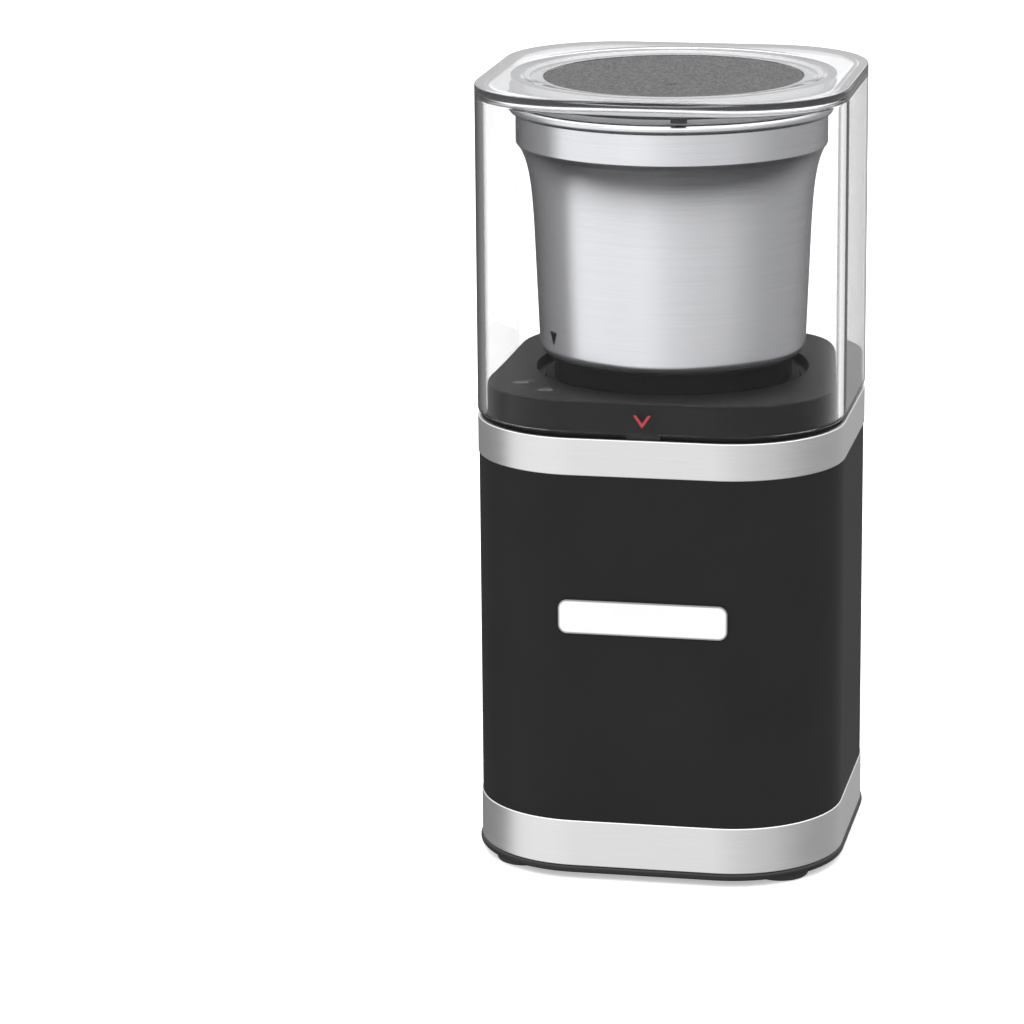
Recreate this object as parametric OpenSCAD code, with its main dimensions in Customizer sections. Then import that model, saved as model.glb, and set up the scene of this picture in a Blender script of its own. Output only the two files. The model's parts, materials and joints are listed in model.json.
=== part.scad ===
// Electric spice grinder: motor base, lift-out steel bowl and clear press-down cover.
// Millimetres. The origin is the middle of the footprint, on the plane the feet stand on.
// +Z is up and -Y is the front, where the nameplate sits.

/* [Body] */
// Width of the square body across its steel bands
body_w = 110; // [104:1:116]
// Corner radius of the body seen from above
corner_r = 33.7; // [31:0.1:36]
// Height of the feet below the tray
foot_h = 1.9; // [1.5:0.1:3]
// Height of the black rim of the tray
rim_h = 2.1; // [1.8:0.1:3]
// How far the rim stands proud of the bands
rim_proud = 0.5; // [0.3:0.1:0.8]
// Height of the lower steel band
lower_band_h = 14.2; // [11:0.1:18]
// Height of the black sleeve
sleeve_h = 105.9; // [105:0.1:120]
// Height of the upper steel band
upper_band_h = 11.2; // [11:0.1:13]
// Thickness of a steel band
band_t = 1.2; // [1:0.1:1.4]
// Wall thickness of the sleeve
sleeve_t = 2; // [1.8:0.1:2.2]

/* [Deck] */
// Height of the deck above the upper band
deck_rise = 10.7; // [10:0.1:12]
// Radius of the round recess that takes the bowl
recess_r = 41.4; // [41.2:0.1:41.6]
// Thickness of the deck's top plate
deck_t = 3; // [2.6:0.1:3.2]

/* [Cover] */
// Gap under the cover, which is also its room to be pressed down
cover_gap = 1.6; // [1.6:0.1:2]
// Height of the cover
cover_h = 97.7; // [97:0.1:104]
// Wall thickness of the cover
cover_t = 2.4; // [2:0.1:2.5]
// Radius of the sunk disc in the cover's top
disc_r = 38.5; // [34:0.5:40]
// Depth of the dish around the disc
dish_depth = 1.3; // [1:0.1:1.4]

/* [Bowl] */
// Height of the bowl's steel bottom above the deck
bowl_rise = 4.4; // [4:0.1:5]
// Radius of the bowl just above its bottom corner
bowl_r = 40.35; // [39.5:0.05:40.5]
// Sheet thickness of the bowl
bowl_t = 1; // [0.8:0.1:1.1]
// Height of the steel bowl up to the underside of its collar
bowl_h = 64.8; // [64:0.1:66]
// Radius of the brushed collar
collar_r = 47.35; // [47:0.05:47.6]
// Height of the brushed collar
collar_h = 8.2; // [7:0.1:8.4]
// Radius of the rolled lip at its widest
lip_r = 49.65; // [49:0.05:50]
// Turn between the open and the closed lock mark, in degrees
lock_turn = 14; // [12:1:16]

/* [Blade] */
// Tip-to-tip length of the blade
blade_span = 64; // [56:1:68]
// Height of the blade above the bowl's floor
blade_lift = 12; // [11.5:0.5:14]
// Thickness of the blade
blade_t = 2; // [1.5:0.1:2.2]

/* [Motor] */
// Outer radius of the stator
stator_r = 36; // [34.5:0.5:36.5]
// Length of the stator
stator_h = 36; // [30:1:36]
// Radius of the motor shaft
shaft_r = 4; // [3.5:0.5:4]
// Radius of the fan
fan_r = 24; // [20:0.5:25]

/* [Hidden] */
$fn = 96;

// Heights of the outer shells
z_rim = foot_h;
z_low = z_rim + rim_h;
z_sleeve = z_low + lower_band_h;
z_up = z_sleeve + sleeve_h;
z_band = z_up + upper_band_h;
z_deck = z_band + deck_rise;
z_cover = z_band + cover_gap;
z_top = z_cover + cover_h;

// Outlines, as widths across the flats with their corner radii
half_w = body_w / 2;
sleeve_gap = 0.3;
sleeve_w = body_w - 2 * sleeve_gap;
sleeve_r = corner_r - sleeve_gap;
inner_gap = 0.2;
skirt_in = band_t + inner_gap;
skirt_w = body_w - 2 * skirt_in;
skirt_r = corner_r - skirt_in;
skirt_t = 2;
deck_in = 2.9;
deck_w = body_w - 2 * deck_in;
deck_r = corner_r - deck_in;
frame_in = sleeve_gap + sleeve_t + 0.4;
frame_w = body_w - 2 * frame_in;
frame_r = corner_r - frame_in;

// Recess of the deck, and the bayonet in it: lugs of the bowl turn in under four ledges
deck_under = z_deck - deck_t;
deck_edge = 0.6;
ledge_t = 2.6;
ledge_z = deck_under - ledge_t;
ledge_r = 38.9;
cup_r = 41.8;
cup_t = 2;
cup_floor = z_deck - 13.4;
cup_floor_t = 2;
collar_hole_r = 14.5;
lug_count = 4;
lug_first = 45;
lug_half = 5.5;
notch_half = 7.5;
lug_r = 41.2;
lug_h = 2.8;
lug_z = ledge_z - 0.4 - lug_h;
ring_in = 38.8;
ring_out = 41.2;
ring_z = cup_floor + 0.4;
ring_h = 3.6;
ring_step = 0.15;
dog_h = 3.2;
dog_gap = 0.6;
dog_w = 3;

// Interlock cam under the ring, and the lever it swings
cam_half = 3;
cam_drop = 7.6;
ilever_az = 17.5;
ilever_r = 32;
ilever_len = 10.8;
ilever_z = cup_floor - 7;

// Cord gland in the back of the sleeve, and the nameplate on its front
gland_z = 30;
gland_r = 6;
gland_bore = 3.7;
gland_back = 44;
name_w = 50.2;
name_h = 10.2;
name_z = z_low + 77.4;

// Frame and its fixings
column_x = 43;
column_y = 22;
column_r = 5;
column_foot = z_low + 5;
plate_t = 3;
plate_z = z_up - 6.6;
pilot_r = 1.6;
screw_r = 1.55;
head_r = 3.4;
foot_x = 38.8;
foot_r = 8.5;

// Motor
arm_x = 44;
arm_half = 6;
arm_t = 3;
lower_arm_z = 34;
upper_arm_z = plate_z - 2.5 - arm_t;
grommet_r = 4.2;
bearing_r = 11;
bearing_h = 7;
run_gap = 0.05;
stator_z = 60;
stator_bore = 19.2;
bolt_x = 31;
bolt_r = 2;
coil_mid = 41;
coil_half = 8.5;
coil_in = 21;
coil_out = 28;
coil_over = 5;
coil_end = 4.6;
fan_z = stator_z + stator_h + 7.5;
commutator_z = 44;
commutator_r = 11;
commutator_h = 12;
brush_z = commutator_z + commutator_h / 2;
slot_count = 12;
slot_r = 1.9;
slot_at = 15.6;
armature_r = 18.5;
lower_boss = lower_arm_z - 5;
upper_boss_top = upper_arm_z + arm_t + 5.5;

// Plungers that the cover's bottom edge stands on
plunger_y = 49;
plunger_stem_r = 2;
plunger_stem_z = plate_z - 5;
plunger_arm_z = z_up + 2.5;
plunger_half = 5;

// Cover switch on the frame, under the front plunger
switch_y = -31;
switch_z = plunger_stem_z - 1.2;
lever_reach = 19;

// Bowl
z_bowl = z_deck + bowl_rise;
z_collar = z_bowl + bowl_h;
z_lip = z_collar + collar_h + 1.9;
lip_bead = 1.5;
bowl_corner = 4;
bowl_slope = 0.042;
flare_add = 3.5;
flare_len = 6.5;
neck_r = 36;
flange_r = 38.4;
flange_z = lug_z;
flange_top = deck_under + 0.4;
index_az = -141.5;
index_z = z_bowl + 5.8;
index_w = 3.9;
z_floor = z_bowl + bowl_t;
base_plate = z_bowl - 2;
boss_z = z_bowl - 5.9;
flare_from = 38;
flare_to = bowl_h - 1.9;
flare_steps = 14;

// Blade drive
pin_r = 3;
bush_r = 6.45;
bush_top = z_floor + 7.1;
z_blade = z_floor + blade_lift;
couple_z = cup_floor + 0.9;
couple_disc_t = 2.5;
couple_r = 12.5;
couple_lug_in = 5.4;
couple_lug_out = 11.5;
couple_half = 20;
couple_top = couple_z + couple_disc_t + 4.8;
driven_z = couple_z + couple_disc_t + 0.7;

// Bends of the blade: one wing rises and the other drops
tip_x = blade_span / 2;
bend_x = 12;
flat_x = 21;
wing_up = 5.5;
wing_down = -3;

// Cover top and the seal under it
top_t = 2.4;
z_plate = z_top - top_t;
z_dish = z_top - dish_depth;
seal_z = z_lip + lip_bead + 1.6;
seal_t = 0.8;
seal_in = 44.9;
z_skirt = seal_z + seal_t;
pocket = 0.5;

// ---------- shared shapes ----------

// Square with round corners, centred, in the XY plane
module rounded_square(w, r) {
  square([w, w - 2 * r], center = true);
  square([w - 2 * r, w], center = true);
  for (x = [-1, 1], y = [-1, 1])
    translate([x, y] * (w / 2 - r)) circle(r);
}

// Upright block with that outline, from z0 to z1
module prism(w, r, z0, z1) {
  translate([0, 0, z0]) linear_extrude(z1 - z0) rounded_square(w, r);
}

// Upright wall of thickness t with that outline
module shell(w, r, t, z0, z1) {
  translate([0, 0, z0]) linear_extrude(z1 - z0) difference() {
    rounded_square(w, r);
    rounded_square(w - 2 * t, r - t);
  }
}

// Carries a profile around the outline: its x is 0 on the outline and negative inside it, its y is Z
module around(w, r) {
  run = w - 2 * r;
  for (turn = [0 : 90 : 270]) rotate(turn) {
    translate([w / 2, run / 2, 0]) rotate([90, 0, 0]) linear_extrude(run) children();
    translate([run / 2, run / 2, 0]) rotate_extrude(angle = 90) translate([r, 0]) children();
  }
}

// Rectangle from the origin with all four corners rounded
module rounded_bar(w, h, r) {
  translate([r, 0]) square([w - 2 * r, h]);
  translate([0, r]) square([w, h - 2 * r]);
  for (x = [r, w - r], y = [r, h - r]) translate([x, y]) circle(r, $fn = 32);
}

// Rectangle from the origin whose right-hand corners are rounded by r_low and r_high
module edge_bar(w, h, r_low, r_high) {
  difference() {
    square([w, h]);
    translate([w - r_high, h - r_high]) square(r_high + 1);
    translate([w - r_low, -1]) square([r_low + 1, r_low + 1]);
  }
  translate([w - r_high, h - r_high]) circle(r_high, $fn = 32);
  if (r_low > 0) translate([w - r_low, r_low]) circle(r_low, $fn = 32);
}

// Solid slab with the outline and rounded edges
module slab(w, r, z0, h, r_low, r_high) {
  around(w, r) translate([-r, z0]) edge_bar(r, h, r_low, r_high);
  side = w - 2 * r;
  translate([-side / 2, -side / 2, z0]) cube([side, side, h]);
}

module disc(r, z0, z1) {
  translate([0, 0, z0]) cylinder(r = r, h = z1 - z0);
}

module tube(ro, ri, z0, z1) {
  translate([0, 0, z0]) linear_extrude(z1 - z0) difference() {
    circle(ro);
    circle(ri);
  }
}

// Part of a tube between two directions, in degrees
module arc_block(ri, ro, from, to, z0, z1) {
  rotate(from) rotate_extrude(angle = to - from) translate([ri, z0]) square([ro - ri, z1 - z0]);
}

module at_four(x, y) {
  for (sx = [-1, 1], sy = [-1, 1]) translate([sx * x, sy * y, 0]) children();
}

module at_sides(x) {
  for (side = [-1, 1]) translate([side * x, 0, 0]) children();
}

module at_lugs() {
  for (i = [0 : lug_count - 1]) rotate(lug_first + i * 360 / lug_count) children();
}

// Block between two corners
module block(low, high) {
  translate(low) cube(high - low);
}

function unit(v) = v / norm(v);

// Closed round tube through the points of a path; ref is a direction that the path never runs along
module tube_along(path, r, sides, ref) {
  last = len(path) - 1;
  points = [for (i = [0 : last])
    let (t = unit(path[min(i + 1, last)] - path[max(i - 1, 0)]), u = unit(cross(ref, t)), v = cross(t, u))
    for (k = [0 : sides - 1]) path[i] + r * (cos(360 * k / sides) * u + sin(360 * k / sides) * v)];
  walls = [for (i = [0 : last - 1], k = [0 : sides - 1]) let (n = (k + 1) % sides)
    [i * sides + k, (i + 1) * sides + k, (i + 1) * sides + n, i * sides + n]];
  start = [for (k = [0 : sides - 1]) k];
  end = [for (k = [sides - 1 : -1 : 0]) last * sides + k];
  polyhedron(points, concat([start], walls, [end]), convexity = 6);
}

// ---------- base ----------

module base_tray() {
  color([0.13, 0.13, 0.14]) difference() {
    union() {
      slab(body_w + 2 * rim_proud, corner_r + rim_proud, z_rim, rim_h, 0.9, 0.9);
      shell(skirt_w, skirt_r, skirt_t, z_low, z_sleeve);
      at_four(column_x, column_y) disc(column_r, z_low - 1, column_foot);
      for (y = [-29, 29]) block([-30, y - 0.8, z_low - 1], [30, y + 0.8, z_low + 3]);
    }
    at_four(column_x, column_y) {
      disc(head_r + 0.3, z_rim - 1, z_rim + 3.6);
      disc(screw_r + 0.3, z_rim, column_foot + 1);
    }
    at_four(foot_x, foot_x) disc(3.1, z_rim - 1, z_low + 1);
    for (i = [-4 : 4]) block([-14, i * 5.5 - 1.3, z_rim - 1], [14, i * 5.5 + 1.3, z_low + 1]);
  }
}

module feet() {
  color([0.1, 0.1, 0.1]) at_four(foot_x, foot_x) {
    rotate_extrude() edge_bar(foot_r, foot_h, 0.9, 0);
    disc(3, foot_h, z_low + 2);
    disc(3.8, z_low + 0.1, z_low + 1.2);
  }
}

module lower_band() {
  color([0.8, 0.8, 0.8]) around(body_w, corner_r) translate([-band_t, z_low])
    rounded_bar(band_t, lower_band_h, 0.4);
}

module upper_band() {
  color([0.8, 0.8, 0.8]) around(body_w, corner_r) translate([-band_t, z_up])
    rounded_bar(band_t, upper_band_h, 0.4);
}

module body_sleeve() {
  color([0.16, 0.16, 0.16]) difference() {
    shell(sleeve_w, sleeve_r, sleeve_t, z_sleeve, z_up);
    translate([0, half_w, gland_z]) rotate([90, 0, 0]) cylinder(r = gland_r + 0.1, h = 10);
  }
}

module cord_gland() {
  face = half_w - sleeve_gap;
  color([0.1, 0.1, 0.1]) translate([0, 0, gland_z]) rotate([-90, 0, 0]) difference() {
    union() {
      disc(gland_r, gland_back, face);
      disc(gland_r + 2, face, face + 0.7);
      disc(gland_r + 1.5, face - sleeve_t - 1.8, face - sleeve_t);
    }
    disc(gland_bore, gland_back - 1, face + 2);
  }
}

module nameplate() {
  color([0.92, 0.92, 0.92]) translate([-name_w / 2, -half_w + sleeve_gap, name_z - name_h / 2])
    rotate([90, 0, 0]) linear_extrude(0.6) rounded_bar(name_w, name_h, 2.6);
}

// Deck: plate with the recess, outer wall, shoulder and the skirt that backs the upper band
module deck_shell() {
  slab(deck_w, deck_r, deck_under, deck_t, 0, deck_edge);
  shell(deck_w, deck_r, 2.4, z_band - 0.2, deck_under);
  shell(skirt_w, skirt_r, 4, z_band - 2.2, z_band - 0.2);
  shell(skirt_w, skirt_r, skirt_t, z_up, z_band - 2.2);
  disc(cup_r + cup_t, cup_floor - cup_floor_t, deck_under);
  at_four(column_y, column_x) disc(4.5, plate_z + plate_t, cup_floor - 0.5);
  for (turn = [0 : 90 : 270]) rotate(turn + 45)
    block([cup_r + 1, -1, z_band - 2.2], [cup_r + 14, 1, deck_under]);
}

module top_deck() {
  color([0.22, 0.22, 0.23]) {
    deck_cut();
    tube(collar_hole_r + 2, collar_hole_r, cup_floor, cup_floor + 4.4);
    at_lugs() arc_block(ledge_r, cup_r + 0.5, notch_half, 360 / lug_count - notch_half, ledge_z, deck_under);
  }
}

module deck_cut() {
  difference() {
    deck_shell();
    disc(recess_r, deck_under - 1, z_deck + 1);
    disc(cup_r, cup_floor, deck_under);
    disc(collar_hole_r, cup_floor - cup_floor_t - 1, cup_floor + 1);
    at_four(column_y, column_x) disc(pilot_r, plate_z, cup_floor - cup_floor_t);
    for (y = [-1, 1]) scale([1, y, 1])
      block([-plunger_half - 0.3, half_w - 3, z_up - 1], [plunger_half + 0.3, half_w, z_band]);
    for (y = [-1, 1]) scale([1, y, 1])
      block([-plunger_half - 0.3, half_w - 6, z_up - 1], [plunger_half + 0.3, half_w - 2, z_up + 7]);
    arc_block(ring_in - 0.4, ring_out + 0.2, -cam_half - 1.5, cam_half + lock_turn + 1.5,
      cup_floor - cup_floor_t - 1, cup_floor + 1);
  }
}

// Padlock drawn as a filled body under a shackle; the open one has its shackle swung aside
module padlock(shackle_x) {
  square([4.2, 3], center = true);
  translate([shackle_x, 1.5]) difference() {
    circle(1.7, $fn = 32);
    circle(1, $fn = 32);
    translate([-3, -3]) square([6, 3]);
  }
}

module lock_marks() {
  open_at = [-40.2, -31.8];
  shut_at = [-31.2, -40.2];
  color([0.5, 0.5, 0.5]) translate([0, 0, z_deck]) linear_extrude(0.12) {
    translate(open_at) rotate(8) padlock(2.3);
    translate(shut_at) rotate(8) padlock(0);
  }
}

// ---------- frame and fixings ----------

module inner_frame() {
  color([0.28, 0.28, 0.3]) difference() {
    union() {
      at_four(column_x, column_y) disc(column_r, column_foot, plate_z + 1);
      at_sides(arm_x) block([-3.5, -column_y, lower_arm_z - 6], [3.5, column_y, lower_arm_z - 3]);
      prism(frame_w, frame_r, plate_z, plate_z + plate_t);
      block([3.6, -46, switch_z - 12], [5.6, -35.5, plate_z + 1]);
    }
    disc(34, plate_z - 1, plate_z + plate_t + 1);
    at_four(column_x, column_y) disc(pilot_r, column_foot - 1, column_foot + 14);
    at_four(column_y, column_x) disc(screw_r + 0.2, plate_z - 1, plate_z + plate_t + 1);
    for (y = [-1, 1]) translate([0, y * plunger_y, 0])
      disc(plunger_stem_r + 0.3, plate_z - 1, plate_z + plate_t + 1);
    at_sides(arm_x) {
      disc(pilot_r, lower_arm_z - 7, lower_arm_z);
      disc(pilot_r, plate_z - 1, plate_z + plate_t + 1);
    }
  }
}

module screw(z_head, z_tip, head_h) {
  difference() {
    disc(head_r, z_head, z_head + head_h);
    for (turn = [0, 90]) rotate(turn) block([-2, -0.4, z_head - 1], [2, 0.4, z_head + 1.2]);
  }
  disc(screw_r, z_head + head_h, z_tip);
}

module base_screws() {
  color([0.6, 0.6, 0.62]) at_four(column_x, column_y) screw(z_rim + 1.2, column_foot + 12, 2.4);
}

module deck_screws() {
  color([0.6, 0.6, 0.62]) at_four(column_y, column_x) screw(plate_z - 2.4, plate_z + plate_t + 9, 2.4);
}

module mount_screws() {
  color([0.6, 0.6, 0.62]) at_sides(arm_x) {
    screw(lower_arm_z - 8.4, lower_arm_z + arm_t, 2.4);
    screw(upper_arm_z - 2.4, plate_z + plate_t - 0.5, 2.4);
  }
}

module motor_mounts() {
  color([0.15, 0.15, 0.15]) at_sides(arm_x) {
    tube(grommet_r, screw_r + 0.1, lower_arm_z - 3, lower_arm_z);
    tube(grommet_r, screw_r + 0.1, upper_arm_z + arm_t, plate_z);
  }
}

// ---------- motor, standing parts ----------

module stator_core() {
  color([0.45, 0.46, 0.48]) difference() {
    disc(stator_r, stator_z, stator_z + stator_h);
    disc(stator_bore, stator_z - 1, stator_z + stator_h + 1);
    for (pole = [90, 270], side = [-1, 1]) rotate(pole + side * coil_mid)
      arc_block(coil_in - 0.8, coil_out + 1, -coil_half - 1, coil_half + 1,
        stator_z - 1, stator_z + stator_h + 1);
    at_sides(bolt_x) disc(bolt_r + 0.1, stator_z - 1, stator_z + stator_h + 1);
    for (i = [0 : 5]) tube(stator_r + 1, stator_r - 0.3, stator_z + 3 + i * 5.6, stator_z + 4 + i * 5.6);
  }
}

module field_coils() {
  reach = coil_mid + coil_half;
  window = coil_mid - coil_half;
  low = stator_z - coil_over;
  high = stator_z + stator_h + coil_over;
  color([0.72, 0.42, 0.2]) for (pole = [90, 270]) rotate(pole) difference() {
    arc_block(coil_in, coil_out, -reach, reach, low, high);
    arc_block(coil_in - 1, coil_out + 1, -window, window, low + coil_end, high - coil_end);
  }
}

module bracket(arm_z, boss_z, boss_top, lip_z, plate_r) {
  difference() {
    union() {
      block([-arm_x - 4, -arm_half, arm_z], [arm_x + 4, arm_half, arm_z + arm_t]);
      disc(plate_r, arm_z, arm_z + arm_t);
      disc(bearing_r + 3, boss_z, boss_top);
    }
    disc(bearing_r, lip_z, lip_z + bearing_h);
    disc(bearing_r - 2.5, boss_z - 1, boss_top + 1);
    at_sides(arm_x) disc(screw_r + 0.1, arm_z - 1, arm_z + arm_t + 1);
    at_sides(bolt_x) disc(bolt_r + 0.1, arm_z - 1, arm_z + arm_t + 1);
    for (turn = [45 : 90 : 315]) rotate(turn) translate([plate_r - 5, 0, 0])
      disc(3, arm_z - 1, arm_z + arm_t + 1);
  }
}

module lower_bracket() {
  color([0.62, 0.63, 0.65]) {
    bracket(lower_arm_z, lower_boss, lower_arm_z + arm_t, lower_boss + 1, 28);
    at_sides(bolt_x) tube(4.2, bolt_r + 0.1, lower_arm_z + arm_t, stator_z);
  }
}

module upper_bracket() {
  color([0.62, 0.63, 0.65]) {
    bracket(upper_arm_z, upper_arm_z, upper_boss_top, upper_boss_top - 1 - bearing_h, 19);
    at_sides(bolt_x) tube(4.2, bolt_r + 0.1, stator_z + stator_h, upper_arm_z);
  }
}

module bearing(z) {
  difference() {
    tube(bearing_r, shaft_r + run_gap, z, z + bearing_h);
    tube(bearing_r - 2, shaft_r + 2.2, z - 1, z + 0.8);
    tube(bearing_r - 2, shaft_r + 2.2, z + bearing_h - 0.8, z + bearing_h + 1);
  }
}

module lower_bearing() {
  color([0.75, 0.75, 0.77]) bearing(lower_boss + 1);
}

module upper_bearing() {
  color([0.75, 0.75, 0.77]) bearing(upper_boss_top - 1 - bearing_h);
}

module motor_bolts() {
  top = upper_arm_z + arm_t;
  color([0.6, 0.6, 0.62]) at_sides(bolt_x) {
    disc(3.4, lower_arm_z - 2.4, lower_arm_z);
    disc(bolt_r, lower_arm_z, top + 2.3);
    translate([0, 0, top]) linear_extrude(2.1) difference() {
      circle(3.6, $fn = 6);
      circle(bolt_r);
    }
  }
}

module brush_holders() {
  color([0.78, 0.62, 0.3]) for (y = [-1, 1]) scale([1, y, 1]) difference() {
    union() {
      block([-4.5, 12.4, brush_z - 4], [4.5, 27, brush_z + 4]);
      block([-4.5, 22.5, lower_arm_z + arm_t], [4.5, 27, brush_z - 3]);
    }
    block([-3.5, 12, brush_z - 3], [3.5, 26, brush_z + 3]);
  }
}

module carbon_brushes() {
  color([0.2, 0.2, 0.21]) for (y = [-1, 1]) scale([1, y, 1])
    block([-3.4, commutator_r + 0.1, brush_z - 2.9], [3.4, 20, brush_z + 2.9]);
}

// ---------- motor, turning parts ----------

module rotor_shaft() {
  color([0.75, 0.76, 0.78]) disc(shaft_r, lower_boss - 2, couple_z - 0.5);
}

module armature_core() {
  color([0.5, 0.51, 0.53]) difference() {
    tube(armature_r, shaft_r, stator_z + 1, stator_z + stator_h - 1);
    for (i = [0 : slot_count - 1]) rotate(i * 360 / slot_count) {
      translate([slot_at, 0, 0]) disc(slot_r + 0.1, stator_z, stator_z + stator_h);
      block([slot_at, -0.6, stator_z], [20, 0.6, stator_z + stator_h]);
    }
  }
}

module armature_windings() {
  low = stator_z - 3;
  high = stator_z + stator_h + 3;
  color([0.7, 0.38, 0.18]) {
    for (i = [0 : slot_count - 1]) rotate(i * 360 / slot_count) translate([slot_at, 0, 0])
      disc(slot_r, low + 2, high - 2);
    tube(17.2, 8, low, stator_z + 0.8);
    tube(17.2, 8, stator_z + stator_h - 0.8, high);
  }
}

module commutator() {
  color([0.75, 0.45, 0.25]) difference() {
    tube(commutator_r, shaft_r, commutator_z, commutator_z + commutator_h);
    for (i = [0 : slot_count - 1]) rotate(i * 360 / slot_count)
      block([commutator_r - 0.8, -0.25, commutator_z - 1], [12, 0.25, commutator_z + commutator_h + 1]);
  }
}

module cooling_fan() {
  blades = 9;
  color([0.2, 0.2, 0.22]) {
    tube(7, shaft_r, fan_z, fan_z + 8);
    tube(fan_r, 6.5, fan_z, fan_z + 1.2);
    for (i = [0 : blades - 1]) rotate(i * 360 / blades) translate([8, 0, 0]) rotate(24)
      block([0, -0.6, fan_z + 1], [14.5, 0.6, fan_z + 7.4]);
  }
}

module drive_coupling() {
  color([0.16, 0.16, 0.17]) {
    difference() {
      union() {
        disc(6.5, upper_boss_top + 1.5, couple_z + 0.5);
        disc(couple_r, couple_z, couple_z + couple_disc_t);
      }
      disc(shaft_r, upper_boss_top, couple_z - 0.5);
    }
    for (turn = [0, 180]) rotate(turn) arc_block(couple_lug_in, couple_lug_out, -couple_half, couple_half,
      couple_z + couple_disc_t - 0.5, couple_top);
  }
}

// ---------- switches and wiring ----------

module cover_switch() {
  low = switch_z - 11.7;
  top = switch_z - 2.7;
  color([0.15, 0.15, 0.16]) difference() {
    union() {
      block([-3.4, -46, low], [3.4, -29, top]);
      at_sides(3) block([-0.4, switch_y - 1.8, top - 1], [0.4, switch_y + 1.8, switch_z + 1.5]);
      translate([0, -40, 0]) disc(1, top, top + 0.8);
    }
    translate([-5, switch_y, switch_z]) rotate([0, 90, 0]) cylinder(r = 0.95, h = 10, $fn = 32);
  }
}

module switch_lever() {
  color([0.8, 0.8, 0.82]) {
    translate([-3.4, switch_y, switch_z]) rotate([0, 90, 0]) cylinder(r = 0.9, h = 6.8, $fn = 32);
    block([-2.2, switch_y - lever_reach, switch_z], [2.2, switch_y, switch_z + 0.8]);
  }
}

module interlock_switch() {
  color([0.15, 0.15, 0.16]) rotate(ilever_az) difference() {
    union() {
      block([ilever_r - 3, 7, plate_z + plate_t], [ilever_r + 9, 14, ilever_z + 2]);
      block([ilever_r + 2.5, -2.5, plate_z + plate_t], [ilever_r + 7.5, 7.5, ilever_z - 0.6]);
    }
    translate([ilever_r + 4, 0, 0]) disc(0.95, plate_z, ilever_z);
  }
}

module interlock_lever() {
  color([0.8, 0.8, 0.82]) rotate(ilever_az) translate([ilever_r + 4, 0, 0]) {
    disc(0.9, plate_z + plate_t + 0.5, ilever_z);
    disc(1.8, ilever_z - 0.2, ilever_z + 3.2);
    block([0.5, -0.5, ilever_z], [ilever_len - 4, 0.5, ilever_z + 3]);
  }
}

module terminal_block() {
  color([0.85, 0.85, 0.82]) difference() {
    block([-13, 31, z_low], [13, 43, z_low + 11]);
    for (x = [-8, 0, 8]) translate([x, 37, 0]) disc(2.2, z_low + 7, z_low + 12);
  }
}

module noise_filter() {
  color([0.75, 0.68, 0.2]) translate([-28, 33, 0]) {
    block([-6, -3, z_low], [6, 8, z_low + 15]);
  }
}

// Leads from the cord gland to the terminals, and from there to the brushes
module inner_leads() {
  lead_r = 1.1;
  pin_top = z_low + 7.5;
  live = [[1.7, 41.5, gland_z], [3, 39.5, gland_z - 0.6], [6, 38, gland_z - 5], [8, 37, gland_z - 12],
    [8, 37, pin_top]];
  feed = [[0, 37, pin_top], [0, 36, pin_top + 6], [8, 33, 26], [11, 31, 34], [8, 29.5, 44],
    [2, 28.6, brush_z + 2]];
  back = [[-24, 30, 19.5], [-26, 20, 26], [-29, 0, 29], [-26, -20, 34], [-12, -30, 42],
    [-2, -28.6, brush_z + 2]];
  for (side = [-1, 1]) color([0.35 + 0.3 * side, 0.15, 0.35 - 0.25 * side]) scale([side, 1, 1])
    tube_along(live, lead_r, 10, [1, 0, 0.2]);
  color([0.65, 0.12, 0.1]) tube_along(feed, lead_r, 10, [1, 0, 0.2]);
  color([0.12, 0.2, 0.5]) tube_along(back, lead_r, 10, [1, 0, 0.2]);
}

// ---------- cover press ----------

module plungers() {
  color([0.16, 0.16, 0.17]) for (y = [-1, 1]) scale([1, y, 1]) {
    block([-plunger_half, half_w - 2.7, plunger_arm_z], [plunger_half, half_w - 1.6, z_cover]);
    block([-plunger_half, plunger_y - 3.5, plunger_arm_z], [plunger_half, half_w - 1.6, plunger_arm_z + 2.4]);
    translate([0, plunger_y, 0]) disc(plunger_stem_r, plunger_stem_z, plunger_arm_z + 1);
  }
}

module plunger_springs() {
  spring_r = 2.8;
  wire_r = 0.35;
  turns = 4;
  steps = 18;
  gap = wire_r + 0.1;
  low = plate_z + plate_t + gap;
  rise = plunger_arm_z - gap - low;
  path = [for (i = [0 : turns * steps])
    [spring_r * cos(360 * i / steps), spring_r * sin(360 * i / steps), low + rise * i / (turns * steps)]];
  color([0.8, 0.8, 0.82]) for (y = [-1, 1]) translate([0, y * plunger_y, 0])
    tube_along(path, wire_r, 8, [0, 0, 1]);
}

// ---------- bayonet ring ----------

module interlock_ring() {
  dog_top = ring_z + ring_h + dog_h;
  color([0.25, 0.25, 0.26]) {
    tube(ring_out, ring_in, ring_z, ring_z + ring_h);
    at_lugs() for (side = [-1, 1]) rotate(side * (lug_half + dog_gap + dog_w / 2))
      arc_block(ring_in + ring_step, ring_out - ring_step, -dog_w / 2, dog_w / 2,
        ring_z + ring_h - 0.5, dog_top);
    arc_block(ring_in + ring_step, ring_out - ring_step, -cam_half, cam_half,
      ring_z - cam_drop, ring_z + 0.5);
  }
}

// ---------- bowl ----------

// Outer radius of the steel wall at a height above the bowl's bottom
function wall_r(h) = bowl_r + bowl_slope * (h - 4.6) + flare_add * exp((h - flare_to) / flare_len);

// The same radius on the straight taper below the flare
function taper_r(h) = bowl_r
  + (wall_r(flare_from) - bowl_r) * (h - bowl_corner) / (flare_from - bowl_corner);

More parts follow.
